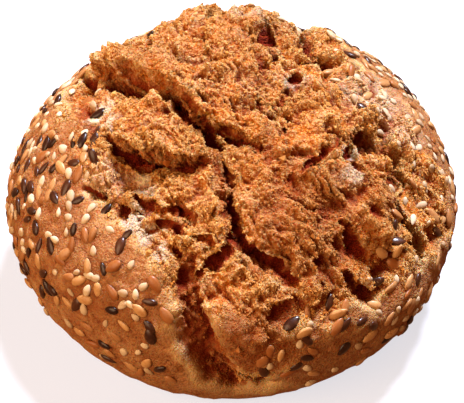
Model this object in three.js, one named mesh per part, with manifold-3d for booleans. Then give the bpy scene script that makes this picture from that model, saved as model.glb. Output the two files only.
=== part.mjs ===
// A round seeded bread roll, baked on a flat plate. A browned skin, scattered with sesame and linseed, wraps
// its sides. The top tore open in the oven and shows split, craggy crumb between its plates.
// Millimetres, +Z up. The origin is the middle of the flat base, and the side shown first faces -Y.
import * as THREE from "three";
import Module from "manifold-3d";
import { mergeVertices } from "three/addons/utils/BufferGeometryUtils.js";

// The smooth dough ball, before anything tears: half an egg shape above the waist, and a rounder one below it
// that the baking plate cuts off flat.
const WIDTH = 100;
const WAIST_HEIGHT = 22;
const CROWN_HEIGHT = 34;
const UNDERSIDE_DEPTH = 37;
const CROWN_FULLNESS = 1.85;
const UNDERSIDE_FULLNESS = 2.05;

// The splits are laid out as seen by an eye that looks down on the front of the roll at this angle. u runs to
// the right and v upwards across that line of sight, in millimetres from the middle of the waist.
const SIGHT_ANGLE = 44;

// At bearings round from the front: how far down from the top the torn crumb reaches, from where down the
// seeds lie, and how gradually the one runs into the other, all in degrees. On the right the crust is broken
// up almost to the waist, and the seeds reach up over it.
const TEAR_EDGE = [
  [-165, 58, 56, 3], [-135, 60, 54, 3], [-100, 61, 52, 2.5], [-72, 56, 50, 2.5], [-40, 59, 57, 2.5],
  [-20, 66, 66, 2.5], [-11, 76, 80, 2.5], [-3, 78, 97, 3], [4, 79, 97, 3], [10, 82, 83, 2.5],
  [18, 80, 77, 3], [40, 79, 73, 4], [60, 80, 65, 5], [75, 79, 55, 8], [88, 70, 46, 8], [100, 56, 42, 6],
  [120, 51, 43, 5], [150, 54, 50, 4],
];
const TEAR_WANDER = 1.3; // of the edge, as a share of how gradual it is there
const TEAR_SPACING = 7;

// Relief of the torn crumb and of the skin: spacing and height of the lumps, and of the creases between them.
const CRAG_SPACING = 11;
const CRAG_HEIGHT = 1.4;
const CRUMB_SPACING = 5;
const CRUMB_HEIGHT = 1.0;
const CREASE_SPACING = 13;
const CREASE_BREADTH = 0.3; // as a share of the unevenness that it follows
const CREASE_DEPTH = 1.5;
const SKIN_SPACING = 17;
const SKIN_HEIGHT = 0.5;

// The rims of a split wander by this much, and the plates round off towards it over this distance.
const RIM_WANDER = 0.8;
const RIM_SPACING = 2.8;
const ROUNDING_REACH = 7;
const ROUNDING_DROP = 1.1;
const FULL_ROUNDING_WIDTH = 1.1; // splits of less half width round off less
const LIFT_REACH = 13;
const LIFT_RUN_OUT = 7;

// The net of triangles: cuts of each edge of the starting ball, and how much it crowds towards the torn top,
// whose middle leans to the front by CROWDING_LEAN degrees. A corner this near to a split settles into it.
const BALL_DETAIL = 16;
const CROWDING = 0.5;
const CROWDING_LEAN = 22;
const CORNER_CAPTURE = 1.2;
const CORNER_REACH = 4.5;

// Seeds: length, width and thickness of each kind, and how deep they sit in the skin.
const SEED_KINDS = [
  { share: 0.42, size: [2.5, 1.6, 0.9] }, // hulled sesame
  { share: 0.33, size: [3.8, 2.05, 1.0] }, // golden linseed
  { share: 0.25, size: [3.8, 2.05, 1.0] }, // brown linseed
];
const SEED_VARIETY = 0.34; // from the smallest to the largest of a kind, as a share of its size
const SEED_PLACES = 3200; // places on the whole ball where a seed may lie
const SEED_CLUSTERS = 11; // spacing of the clusters they fell in
const THICKET = { bearing: 80, tilt: 70, reach: 17 }; // where seeds, mostly sesame, lie thickest
const THICKET_SESAME = 0.45; // how much smaller the other kinds' shares are in its middle
const SEEDS_MODELLED = 132; // the largest are solid here
const SEED_SINK = 0.36; // share of the thickness that is pressed into the skin
const SEED_CLEARANCE = 1.75; // between the middles of neighbours
const SEED_LOWEST = 108; // degrees from the top
const SEED_RUN_OUT = 14; // degrees over which the seeds thin out above that
const SKIN_SAG = 0.1; // how far the facets of the net lie inside the true skin
const GOLDEN_ANGLE = Math.PI * (3 - Math.sqrt(5));

const up = new THREE.Vector3(0, 0, 1);
const waist = new THREE.Vector3(0, 0, WAIST_HEIGHT);
const radians = THREE.MathUtils.degToRad;
const degrees = THREE.MathUtils.radToDeg;
const smooth = THREE.MathUtils.smoothstep;

// A number from 0 to 1 that depends only on the three given.
function draw(a, b, c) {
  const wave = Math.sin(a * 127.1 + b * 311.7 + c * 74.7) * 43758.5453;
  return wave - Math.floor(wave);
}

// Gentle unevenness from -1 to 1, with its lumps `spacing` apart.
function unevenness(point, spacing) {
  const at = point.clone().divideScalar(spacing);
  const cell = at.clone().floor();
  const [fx, fy, fz] = at.sub(cell).toArray().map((f) => f * f * (3 - 2 * f));
  let sum = 0;
  for (const dx of [0, 1])
    for (const dy of [0, 1])
      for (const dz of [0, 1]) {
        const share = (dx ? fx : 1 - fx) * (dy ? fy : 1 - fy) * (dz ? fz : 1 - fz);
        sum += share * draw(cell.x + dx, cell.y + dy, cell.z + dz);
      }
  return 2 * sum - 1;
}

// How far the smooth ball reaches from the middle of its waist in a direction.
function reach(direction) {
  const outwards = Math.hypot(direction.x, direction.y) / (WIDTH / 2);
  const above = direction.z >= 0;
  const along = Math.abs(direction.z) / (above ? CROWN_HEIGHT : UNDERSIDE_DEPTH);
  const fullness = above ? CROWN_FULLNESS : UNDERSIDE_FULLNESS;
  return (outwards ** fullness + along ** fullness) ** (-1 / fullness);
}

const onBall = (direction) => direction.clone().multiplyScalar(reach(direction)).add(waist);

// The point of the ball at a bearing, from the front round to the right, and at an angle from the top.
function around(bearing, tilt) {
  const [b, t] = [radians(bearing), radians(tilt)];
  return onBall(new THREE.Vector3(Math.sin(t) * Math.sin(b), -Math.sin(t) * Math.cos(b), Math.cos(t)));
}

// The point of the ball that the eye sees at u, v: it walks along the line of sight until it meets the ball.
function seen(u, v) {
  const angle = radians(SIGHT_ANGLE);
  const towardsEye = new THREE.Vector3(0, -Math.cos(angle), Math.sin(angle));
  const upwards = new THREE.Vector3(0, Math.sin(angle), Math.cos(angle));
  const sighted = upwards.multiplyScalar(v).setX(u);
  let [inside, outside] = [0, WIDTH];
  for (let i = 0; i < 30; i++) {
    const middle = (inside + outside) / 2;
    const tried = sighted.clone().addScaledVector(towardsEye, middle);
    if (tried.length() < reach(tried.clone().normalize())) inside = middle;
    else outside = middle;
  }
  return onBall(sighted.addScaledVector(towardsEye, inside).normalize());
}

// A split: points of its route with the half width there, how steep it is, and how far the plate on the
// left of the route stands above the other one.
const split = (place, route, { steepness = 2.6, lift = 0, narrowing = 0.95 } = {}) => ({
  points: route.map(([a, b]) => place(a, b)),
  halfWidths: route.map((point) => narrowing * point[2]),
  steepness,
  lift,
});

const SPLITS = [
  // behind the left block, from the left rim to the middle, under the raised back plate
  split(seen, [[-35, 27.5, 0.8], [-29, 27, 1.8], [-24, 26, 2.3], [-18, 24.5, 2.4], [-13.5, 22.5, 2.2],
    [-9.5, 19, 1.9], [-5.5, 14.5, 2.2]], { lift: 3.4 }),
  // under the brow of the back plate, from the middle to the right
  split(seen, [[-5.5, 14.5, 1.8], [-2.5, 15, 1.4], [0.5, 14, 1.1], [4, 12.5, 0.9], [7, 11.5, 0.4]],
    { lift: 1.4 }),
  // the main split, from the middle down the front
  split(seen, [[13, -19, 0.8], [10, -17, 1.4], [6.5, -15, 1.9], [3, -11.5, 1.7], [0.5, -8, 1.3],
    [-1, -3, 1.8], [-1, 2.5, 1.7], [-3, 8, 1.3], [-5.5, 14.5, 2]],
  { steepness: 2.3, lift: 1.5, narrowing: 1.15 }),
  // under the left block
  split(seen, [[-28, 12.5, 0.9], [-25, 10.5, 1.9], [-21.5, 9, 2.6], [-19, 7.5, 2.7], [-15, 8, 2.1],
    [-11, 7.5, 1.9], [-8, 7, 1.6], [-4, 8, 1]], { steepness: 2.2, lift: 3 }),
  // where the crumb meets the seeded skin on the left
  split(seen, [[-32, 2, 0.7], [-29, 0.5, 1.4], [-26, -1, 1.8], [-24, -3.5, 1.4], [-23, -6, 0.5]],
    { steepness: 1.3, lift: 1.2 }),
  split(seen, [[-22, 0, 0.8], [-19, -1.5, 1.3], [-16.5, -1.5, 1.1], [-13.5, -3, 1.4], [-11, -3, 1.2],
    [-8.5, -4, 0.6]], { steepness: 1.3, lift: 0.8 }),
  split(seen, [[-16, -5.5, 0.5], [-12.5, -7.3, 1], [-9, -8.5, 1], [-4.5, -9.5, 0.4]], { steepness: 1.7 }),
  // over the foot block, and the wide rough strip to its left
  split(seen, [[-7.5, -17.5, 0.8], [-5, -15, 1.2], [-2.5, -13, 1.3], [0.5, -10.5, 0.9]]),
  split(seen, [[-9.5, -13.5, 1.2], [-9.5, -19, 2.6], [-9, -24, 3.1], [-7.5, -29, 4], [-5, -34, 4.5],
    [-2.5, -38, 4], [1, -41, 2]], { steepness: 0.75, narrowing: 1 }),
  split(seen, [[0, -38, 0.9], [4, -39, 1.2], [7, -40, 1], [9.5, -39.5, 0.4]]),
  // round the right-hand plates
  split(seen, [[41.5, -16, 1.2], [41.5, -11.5, 2.5], [39, -5, 1.6], [37, 0, 1.6], [38, 5, 2.1],
    [37.5, 8.5, 2.2], [34.5, 11.5, 1.9], [30, 12.5, 1.9], [25.5, 13.5, 0.8]], { lift: 0.8 }),
  split(seen, [[25, 12, 0.8], [25.5, 8.5, 1.3], [27, 6, 1.3], [28, 4, 0.6]], { steepness: 1.7 }),
  split(seen, [[25, 13, 0.8], [21.5, 10, 1.2], [17.5, 7, 1.2], [13, 4, 0.6]], { steepness: 0.7, lift: 1.8 }),
  split(seen, [[23.5, -5.5, 0.7], [26, -9, 1.2], [28.5, -12.5, 0.9]], { steepness: 1.7 }),
  split(seen, [[24.5, -16.5, 0.8], [27, -20, 1.7], [30, -22, 1.6], [33, -19.5, 0.8]], { steepness: 1.4 }),
  // over the back plate
  split(seen, [[6.5, 38, 0.9], [7.5, 36, 1.3], [9, 34, 1.3], [11, 32, 0.6]]),
  split(seen, [[28, 29, 0.6], [25, 30.5, 1.3], [22, 31, 1.6], [19, 32, 1.6], [17, 34.5, 0.9]],
    { lift: -1.6 }),
  split(seen, [[15.5, 29, 0.6], [14, 25.5, 1.2], [11.5, 23, 0.6]], { steepness: 1.5, lift: 1 }),
  split(seen, [[6.5, 23, 0.6], [9, 20.5, 1.1], [12, 16, 0.5]]),
  split(seen, [[-9, 38.5, 0.9], [-6.5, 39.5, 1.9], [-3.5, 38.5, 0.9]]),
  // on down the far side
  split(around, [[-171, 50, 1], [-166, 58, 1.8], [-170, 66, 1.6], [-163, 74, 0.6]], { lift: 1 }),
  split(around, [[139, 44, 1], [150, 52, 1.8], [156, 62, 1.7], [151, 72, 0.7]], { lift: -1 }),
  split(around, [[-135, 40, 0.7], [-139, 50, 1.5], [-132, 61, 1.4], [-136, 70, 0.5]]),
];

// Plates that stand proud of the ball: middle, radius and rise.
const SWELLINGS = [
  { middle: around(174, 45), radius: 17, rise: 3.2 }, // the crest at the back of the top
  { middle: around(-155, 48), radius: 11, rise: 1.4 },
  { middle: around(146, 50), radius: 9, rise: 1.4 },
  { middle: seen(-16, 16), radius: 12, rise: 3.4 }, // left block
  { middle: seen(-24, 32), radius: 11, rise: 1.3 },
  { middle: seen(22, 33), radius: 10, rise: 0.9 },
  { middle: seen(-13, 2), radius: 8, rise: 1.6 },
  { middle: seen(3, -26), radius: 8, rise: 1.5 }, // foot block
  { middle: seen(13, -3), radius: 10, rise: 0.9 },
  { middle: seen(30, 0), radius: 7, rise: 0.8 },
];

// The edge of the torn crumb at a bearing, as in the rows of TEAR_EDGE, which close into a ring.
function edgeAt(bearing) {
  const [first, last] = [TEAR_EDGE[0], TEAR_EDGE.at(-1)];
  const ring = [[last[0] - 360, ...last.slice(1)], ...TEAR_EDGE, [first[0] + 360, ...first.slice(1)]];
  const next = ring.findIndex((row) => row[0] > bearing);
  const share = (bearing - ring[next - 1][0]) / (ring[next][0] - ring[next - 1][0]);
  return ring[next].map((value, column) => THREE.MathUtils.lerp(ring[next - 1][column], value, share));
}

// 1 on the torn crumb and 0 on the skin, or where seeds lie and where none do, with a soft edge.
function aboveEdge(point, ofSeeds) {
  const out = point.clone().sub(waist);
  const [, tornTilt, seedsTilt, softness] = edgeAt(degrees(Math.atan2(out.x, -out.y)));
  const tilt = degrees(out.angleTo(up)) + TEAR_WANDER * softness * unevenness(point, TEAR_SPACING);
  const edge = ofSeeds ? seedsTilt : tornTilt;
  return 1 - smooth(tilt, edge - softness, edge + softness);
}

// The nearest point of a split's route: how far off it is, where along the route it lies, and which side.
function nearestOn({ points, halfWidths }, point) {
  let best = { distance: Infinity };
  let run = 0;
  for (let i = 0; i + 1 < points.length; i++) {
    const along = points[i + 1].clone().sub(points[i]);
    const length = along.length();
    const to = point.clone().sub(points[i]);
    const share = THREE.MathUtils.clamp(to.dot(along) / length ** 2, 0, 1);
    const foot = points[i].clone().addScaledVector(along, share);
    const distance = foot.distanceTo(point);
    if (distance < best.distance)
      best = {
        distance,
        foot,
        halfWidth: THREE.MathUtils.lerp(halfWidths[i], halfWidths[i + 1], share),
        run: run + share * length,
        left: along.cross(to).dot(point.clone().sub(waist)) > 0,
      };
    run += length;
  }
  return { ...best, toEnd: Math.min(best.run, run - best.run) };
}

// Whether a point of the ball lies within a split.
function inSplit(point) {
  return SPLITS.some((opening) => {
    const { distance, halfWidth } = nearestOn(opening, point);
    return distance < 1.25 * halfWidth;
  });
}

// How far the torn plates stand off the smooth ball at one of its points.
function plateRelief(point) {
  let [cut, rounding, lift] = [0, 0, 0];
  const wander = RIM_WANDER * unevenness(point, RIM_SPACING);
  for (const opening of SPLITS) {
    const near = nearestOn(opening, point);
    if (near.distance > LIFT_REACH) continue;
    const off = Math.max(0, near.distance + wander);
    const inside = 1 - smooth(off, 0.25 * near.halfWidth, 1.25 * near.halfWidth);
    cut = Math.max(cut, opening.steepness * near.halfWidth * inside);
    const fullness = Math.min(1, near.halfWidth / FULL_ROUNDING_WIDTH);
    rounding = Math.max(rounding, ROUNDING_DROP * fullness * (1 - smooth(off, 0, ROUNDING_REACH)));
    const held = smooth(near.toEnd, 0, LIFT_RUN_OUT) * (1 - smooth(near.distance, 0, LIFT_REACH));
    lift += opening.lift * held * (near.left ? 1 : -0.35);
  }
  for (const { middle, radius, rise } of SWELLINGS) {
    lift += rise * (1 - smooth(point.distanceTo(middle), 0.3 * radius, 1.3 * radius));
  }
  return lift - cut - rounding;
}

// A point of the smooth ball, moved out or in to where the baked surface is.
function baked(point) {
  const torn = aboveEdge(point, false);
  const crease = 1 - smooth(Math.abs(unevenness(point, CREASE_SPACING)), 0, CREASE_BREADTH);
  const lumps = CRAG_HEIGHT * unevenness(point, CRAG_SPACING);
  const crags = lumps + CRUMB_HEIGHT * unevenness(point, CRUMB_SPACING) - CREASE_DEPTH * crease;
  const skin = SKIN_HEIGHT * unevenness(point, SKIN_SPACING);
  const off = plateRelief(point) + THREE.MathUtils.lerp(skin, crags, torn);
  return point.clone().addScaledVector(point.clone().sub(waist).normalize(), off);
}

// A corner of the net that lies beside a split, moved over the ball to the bottom or the rim of that split,
// so that the split runs on without gaps where the net is coarser than it is wide.
function settled(point) {
  const [near] = SPLITS.map((opening) => nearestOn(opening, point)).sort((a, b) => a.distance - b.distance);
  const rim = Math.max(1.2 * near.halfWidth, CORNER_CAPTURE);
  if (near.distance > CORNER_REACH || rim > CORNER_REACH / 2 || near.toEnd === 0) return point;
  const from = [0, CORNER_CAPTURE, 1.2 * CORNER_CAPTURE, rim + CORNER_CAPTURE, CORNER_REACH];
  const to = [0, 0.2 * CORNER_CAPTURE, rim, 1.3 * rim, CORNER_REACH];
  const step = from.findIndex((value) => value > near.distance);
  const share = (near.distance - from[step - 1]) / (from[step] - from[step - 1]);
  const distance = THREE.MathUtils.lerp(to[step - 1], to[step], share);
  const aside = point.clone().sub(near.foot).setLength(distance);
  return onBall(near.foot.clone().add(aside).sub(waist).normalize());
}

// The closed ball of dough, as a mesh whose facets are smallest on the torn top.
function loafGeometry() {
  const ball = new THREE.IcosahedronGeometry(1, BALL_DETAIL).deleteAttribute("normal").deleteAttribute("uv");
  const geometry = mergeVertices(ball, 1e-4);
  const position = geometry.attributes.position;
  const lean = radians(CROWDING_LEAN);
  const crowded = new THREE.Vector3(0, -Math.sin(lean), Math.cos(lean));
  for (let i = 0; i < position.count; i++) {
    const direction = new THREE.Vector3().fromBufferAttribute(position, i).normalize();
    const off = direction.angleTo(crowded);
    const turn = new THREE.Vector3().crossVectors(direction, crowded).normalize();
    direction.applyAxisAngle(turn, CROWDING * Math.sin(off) * (1 - off / Math.PI / 3));
    const surface = baked(settled(onBall(direction)));
    position.setXYZ(i, surface.x, surface.y, surface.z);
  }
  return geometry;
}

// One seed lying along +X: a flattened drop, blunt at one end and pointed at the other.
function seedGeometry([length, width, thickness]) {
  const seed = new THREE.SphereGeometry(1, 5, 3).deleteAttribute("normal").deleteAttribute("uv");
  seed.rotateZ(-Math.PI / 2);
  const position = seed.attributes.position;
  for (let i = 0; i < position.count; i++) {
    const x = position.getX(i);
    const taper = 1 - 0.3 * x;
    position.setXYZ(
      i,
      (x * length) / 2,
      (position.getY(i) * taper * width) / 2,
      (position.getZ(i) * taper * thickness) / 2,
    );
  }
  return mergeVertices(seed, 1e-4);
}

// The size of the seed that place i holds: its kind, then a little larger or smaller. More are sesame in the
// thicket, which is 1 in its middle and 0 beyond it.
function seedSize(i, thicket) {
  let left = draw(i, 5, 0) * (1 - THICKET_SESAME * thicket);
  const kind = SEED_KINDS.find(({ share }) => (left -= share) < 0) ?? SEED_KINDS[0];
  const scale = 1 + SEED_VARIETY * (draw(i, 6, 0) - 0.5);
  return kind.size.map((side) => side * scale);
}

// Seeds lie all round the skin on a golden-angle spiral, each nudged from its place. They fell in clusters,
// few of them low down, and reach a little way up over the torn crumb. None lies on another or in a split.
function seeds() {
  const found = [];
  const middle = around(THICKET.bearing, THICKET.tilt);
  for (let i = 0; i < SEED_PLACES; i++) {
    const height = 1 - (2 * (i + 0.5)) / SEED_PLACES;
    const tilt = degrees(Math.acos(height)) + 3 * (draw(i, 1, 0) - 0.5);
    const bearing = degrees(i * GOLDEN_ANGLE) + 6 * (draw(i, 2, 0) - 0.5);
    const place = around(bearing, tilt);
    const thicket = 1 - smooth(place.distanceTo(middle), THICKET.reach / 2, THICKET.reach);
    const likely = 1.05 + 0.9 * unevenness(place, SEED_CLUSTERS) - 0.5 * smooth(tilt, 72, 98) + thicket;
    const thinning = smooth(tilt, SEED_LOWEST - SEED_RUN_OUT, SEED_LOWEST);
    if (draw(i, 3, 0) > likely * (1 - thinning) || aboveEdge(place, true) > 0.2) continue;
    if (inSplit(place)) continue;
    if (found.some((other) => other.place.distanceTo(place) < SEED_CLEARANCE)) continue;
    found.push({ place, turn: 2 * Math.PI * draw(i, 4, 0), size: seedSize(i, thicket) });
  }
  return found;
}

// The outward normal of the baked surface, from two short steps across it.
function normalAt(place) {
  const out = place.clone().sub(waist);
  const across = new THREE.Vector3(0, 0, 1).cross(out).normalize().multiplyScalar(1.5);
  const down = across.clone().cross(out).normalize().multiplyScalar(1.5);
  const step = (offset) => baked(onBall(out.clone().add(offset).normalize())).sub(baked(place));
  const normal = step(down).cross(step(across)).normalize();
  return normal.dot(out) < 0 ? normal.negate() : normal;
}

// Turns a closed geometry into a solid, and a solid back into a geometry.
const wasm = await Module();
wasm.setup();

function solid(geometry) {
  const vertProperties = new Float32Array(geometry.attributes.position.array);
  const triVerts = new Uint32Array(geometry.index.array);
  return new wasm.Manifold(new wasm.Mesh({ numProp: 3, vertProperties, triVerts }));
}

function geometryOf(made) {
  const mesh = made.getMesh();
  const geometry = new THREE.BufferGeometry();
  geometry.setAttribute("position", new THREE.BufferAttribute(new Float32Array(mesh.vertProperties), 3));
  geometry.setIndex(new THREE.BufferAttribute(new Uint32Array(mesh.triVerts), 1));
  return geometry;
}

// The dough is cut off flat where the baking plate was.
function loafSolid() {
  const plate = new THREE.BoxGeometry(2 * WIDTH, 2 * WIDTH, WIDTH).translate(0, 0, -WIDTH / 2);
  plate.deleteAttribute("normal").deleteAttribute("uv");
  return solid(loafGeometry()).subtract(solid(mergeVertices(plate, 1e-4)));
}

// The largest seeds, laid on the skin and pressed in a little.
function seedSolids() {
  const largest = seeds().sort((a, b) => b.size[0] - a.size[0]).slice(0, SEEDS_MODELLED);
  return largest.map(({ place, turn, size }) => {
    const normal = normalAt(place);
    const level = normal.clone().cross(new THREE.Vector3(0.2, 0.1, 1)).normalize();
    const along = level.clone().applyAxisAngle(normal, turn);
    const lie = new THREE.Matrix4().makeBasis(along, normal.clone().cross(along), normal);
    const centre = baked(place).addScaledVector(normal, size[2] * (0.5 - SEED_SINK) - SKIN_SAG);
    return solid(seedGeometry(size).applyMatrix4(lie).translate(...centre.toArray()));
  });
}

// The loaf with its seeds as one body. A hollow that is sealed under a seed is filled, and a seed that
// touches nothing is dropped.
function roll() {
  const crust = new THREE.MeshStandardMaterial({ color: 0xb5703a, roughness: 0.8, metalness: 0 });
  const fused = seedSolids().reduce((whole, seed) => whole.add(seed), loafSolid());
  const [body] = fused.decompose().sort((a, b) => b.volume() - a.volume());
  const mesh = new THREE.Mesh(geometryOf(body), crust);
  mesh.name = "seeded_roll";
  return mesh;
}

const group = new THREE.Group();
group.add(roll());
export default group;
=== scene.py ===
import math

import bpy
import numpy as np
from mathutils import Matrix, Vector
from mathutils.bvhtree import BVHTree
from mathutils.kdtree import KDTree


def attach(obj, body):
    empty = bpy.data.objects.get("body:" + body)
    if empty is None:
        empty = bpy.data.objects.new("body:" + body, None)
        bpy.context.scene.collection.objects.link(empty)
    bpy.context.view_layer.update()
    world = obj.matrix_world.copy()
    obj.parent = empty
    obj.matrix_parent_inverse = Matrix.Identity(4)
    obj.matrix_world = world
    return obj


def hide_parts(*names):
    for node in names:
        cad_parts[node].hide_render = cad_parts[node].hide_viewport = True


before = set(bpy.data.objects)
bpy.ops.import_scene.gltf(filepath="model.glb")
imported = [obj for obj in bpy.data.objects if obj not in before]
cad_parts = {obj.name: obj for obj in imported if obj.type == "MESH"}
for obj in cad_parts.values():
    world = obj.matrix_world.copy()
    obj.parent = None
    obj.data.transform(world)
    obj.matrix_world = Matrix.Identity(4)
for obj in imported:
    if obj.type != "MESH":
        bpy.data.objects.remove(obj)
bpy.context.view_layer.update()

# The dough ball. A round of multigrain dough, proved and set on a flat baking plate, swells to a wide, low
# ball: half an egg shape above its waist, a rounder one below it, cut off flat by the plate. All sizes are in
# millimetres.
MM = 0.001
WIDTH = 100.0
WAIST = np.array([0.0, 0.0, 22.0])
CROWN_HEIGHT = 34.0
UNDERSIDE_DEPTH = 37.0
CROWN_FULLNESS = 1.85  # 2 is an ellipse, and more is squarer
UNDERSIDE_FULLNESS = 2.05


def unit(vectors):
    """The vectors at length 1."""
    return vectors / np.linalg.norm(vectors, axis=-1, keepdims=True)


def on_ball(directions):
    """The points of the smooth ball in these directions from the middle of its waist."""
    directions = unit(np.atleast_2d(directions))
    above = directions[:, 2] >= 0
    outwards = np.hypot(directions[:, 0], directions[:, 1]) / (WIDTH / 2)
    along = np.abs(directions[:, 2]) / np.where(above, CROWN_HEIGHT, UNDERSIDE_DEPTH)
    fullness = np.where(above, CROWN_FULLNESS, UNDERSIDE_FULLNESS)
    reach = (outwards ** fullness + along ** fullness) ** (-1 / fullness)
    to_plate = WAIST[2] / np.maximum(-directions[:, 2], 1e-9)
    return WAIST + directions * np.minimum(reach, to_plate)[:, None]


def around(bearing, tilt):
    """Points of the ball at a bearing, from the front round to the right, and an angle from the top."""
    b, t = np.radians(bearing), np.radians(tilt)
    return on_ball(np.stack([np.sin(t) * np.sin(b), -np.sin(t) * np.cos(b), np.cos(t)], axis=-1))


# The sight plane. Places on the roll are given as the photograph shows them, looking down on the front at
# this angle: u to the right and v upwards across the line of sight, from the middle of the waist.
SIGHT_ANGLE = math.radians(44)
TOWARDS_EYE = np.array([0.0, -math.cos(SIGHT_ANGLE), math.sin(SIGHT_ANGLE)])
SIGHT_UP = np.array([0.0, math.sin(SIGHT_ANGLE), math.cos(SIGHT_ANGLE)])
HALVINGS = 30  # of the line of sight, which bring a place to a ten-millionth of a millimetre


def seen(u, v):
    """The point of the ball that the eye sees at u, v."""
    sighted = np.array([u, 0.0, 0.0]) + v * SIGHT_UP
    inside, outside = 0.0, WIDTH
    for _ in range(HALVINGS):
        middle = (inside + outside) / 2
        tried = sighted + middle * TOWARDS_EYE
        if np.linalg.norm(tried) < np.linalg.norm(on_ball(tried)[0] - WAIST):
            inside = middle
        else:
            outside = middle
    return on_ball(sighted + inside * TOWARDS_EYE)[0]


# The tears. In the oven the top burst along a net of splits, and the plates between them rose and tore
# apart. Each split is its route, as u, v and half width, then how steep it is, how far the plate on the left
# of the route stands above the other, and how dark its bottom is painted, as the shade that falls into it.
def split(place, route, steepness=2.6, lift=0.0, shaded_split_bottom=0.6, narrowing=0.95):
    """A split whose route is given in the coordinates of the place function."""
    points = np.array([place(a, b).ravel() for a, b, _ in route])
    half_widths = narrowing * np.array([width for *_, width in route])
    return {"points": points, "half_widths": half_widths, "steepness": steepness, "lift": lift,
            "shaded_split_bottom": shaded_split_bottom}


SPLITS = [
    # behind the left block, from the left rim to the middle, under the raised back plate
    split(seen, [(-35, 27.5, 0.8), (-29, 27, 1.8), (-24, 26, 2.3), (-18, 24.5, 2.4), (-13.5, 22.5, 2.2),
                 (-9.5, 19, 1.9), (-5.5, 14.5, 2.2)], lift=3.4),
    # under the brow of the back plate, from the middle to the right
    split(seen, [(-5.5, 14.5, 1.8), (-2.5, 15, 1.4), (0.5, 14, 1.1), (4, 12.5, 0.9), (7, 11.5, 0.4)],
          lift=1.4),
    # the main split, from the middle down the front
    split(seen, [(13, -19, 0.8), (10, -17, 1.4), (6.5, -15, 1.9), (3, -11.5, 1.7), (0.5, -8, 1.3),
                 (-1, -3, 1.8), (-1, 2.5, 1.7), (-3, 8, 1.3), (-5.5, 14.5, 2)], steepness=2.3, lift=1.5,
          narrowing=1.15),
    # under the left block
    split(seen, [(-28, 12.5, 0.9), (-25, 10.5, 1.9), (-21.5, 9, 2.6), (-19, 7.5, 2.7), (-15, 8, 2.1),
                 (-11, 7.5, 1.9), (-8, 7, 1.6), (-4, 8, 1)], steepness=2.2, lift=3, shaded_split_bottom=0.7),
    # where the crumb meets the seeded skin on the left
    split(seen, [(-32, 2, 0.7), (-29, 0.5, 1.4), (-26, -1, 1.8), (-24, -3.5, 1.4), (-23, -6, 0.5)],
          steepness=1.3, lift=1.2),
    split(seen, [(-22, 0, 0.8), (-19, -1.5, 1.3), (-16.5, -1.5, 1.1), (-13.5, -3, 1.4), (-11, -3, 1.2),
                 (-8.5, -4, 0.6)], steepness=1.3, lift=0.8),
    split(seen, [(-16, -5.5, 0.5), (-12.5, -7.3, 1), (-9, -8.5, 1), (-4.5, -9.5, 0.4)], steepness=1.7),
    # over the foot block, and the wide rough strip to its left
    split(seen, [(-7.5, -17.5, 0.8), (-5, -15, 1.2), (-2.5, -13, 1.3), (0.5, -10.5, 0.9)]),
    split(seen, [(-9.5, -13.5, 1.2), (-9.5, -19, 2.6), (-9, -24, 3.1), (-7.5, -29, 4), (-5, -34, 4.5),
                 (-2.5, -38, 4), (1, -41, 2)], steepness=0.75, shaded_split_bottom=0.85, narrowing=1.0),
    split(seen, [(0, -38, 0.9), (4, -39, 1.2), (7, -40, 1), (9.5, -39.5, 0.4)], shaded_split_bottom=0.9),
    # round the right-hand plates
    split(seen, [(41.5, -16, 1.2), (41.5, -11.5, 2.5), (39, -5, 1.6), (37, 0, 1.6), (38, 5, 2.1),
                 (37.5, 8.5, 2.2), (34.5, 11.5, 1.9), (30, 12.5, 1.9), (25.5, 13.5, 0.8)],
          lift=0.8, shaded_split_bottom=1.0),
    split(seen, [(25, 12, 0.8), (25.5, 8.5, 1.3), (27, 6, 1.3), (28, 4, 0.6)], steepness=1.7),
    split(seen, [(25, 13, 0.8), (21.5, 10, 1.2), (17.5, 7, 1.2), (13, 4, 0.6)], steepness=0.7, lift=1.8),
    split(seen, [(23.5, -5.5, 0.7), (26, -9, 1.2), (28.5, -12.5, 0.9)], steepness=1.7),
    split(seen, [(24.5, -16.5, 0.8), (27, -20, 1.7), (30, -22, 1.6), (33, -19.5, 0.8)], steepness=1.4,
          shaded_split_bottom=0.9),
    # over the back plate
    split(seen, [(6.5, 38, 0.9), (7.5, 36, 1.3), (9, 34, 1.3), (11, 32, 0.6)]),
    split(seen, [(28, 29, 0.6), (25, 30.5, 1.3), (22, 31, 1.6), (19, 32, 1.6), (17, 34.5, 0.9)], lift=-1.6),
    split(seen, [(15.5, 29, 0.6), (14, 25.5, 1.2), (11.5, 23, 0.6)], steepness=1.5, lift=1),
    split(seen, [(6.5, 23, 0.6), (9, 20.5, 1.1), (12, 16, 0.5)]),
    split(seen, [(-9, 38.5, 0.9), (-6.5, 39.5, 1.9), (-3.5, 38.5, 0.9)]),
    # on down the far side
    split(around, [(-171, 50, 1), (-166, 58, 1.8), (-170, 66, 1.6), (-163, 74, 0.6)], lift=1),
    split(around, [(139, 44, 1), (150, 52, 1.8), (156, 62, 1.7), (151, 72, 0.7)], lift=-1),
    split(around, [(-135, 40, 0.7), (-139, 50, 1.5), (-132, 61, 1.4), (-136, 70, 0.5)]),
]

# Plates that stand proud of the ball: middle, radius and rise.
SWELLINGS = [
    (around(174, 45)[0], 17, 3.2),  # the crest at the back of the top
    (around(-155, 48)[0], 11, 1.4),
    (around(146, 50)[0], 9, 1.4),
    (seen(-16, 16), 12, 3.4),  # left block
    (seen(-24, 32), 11, 1.3),
    (seen(22, 33), 10, 0.9),
    (seen(-13, 2), 8, 1.6),
    (seen(3, -26), 8, 1.5),  # foot block
    (seen(13, -3), 10, 0.9),
    (seen(30, 0), 7, 0.8),
]

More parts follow.
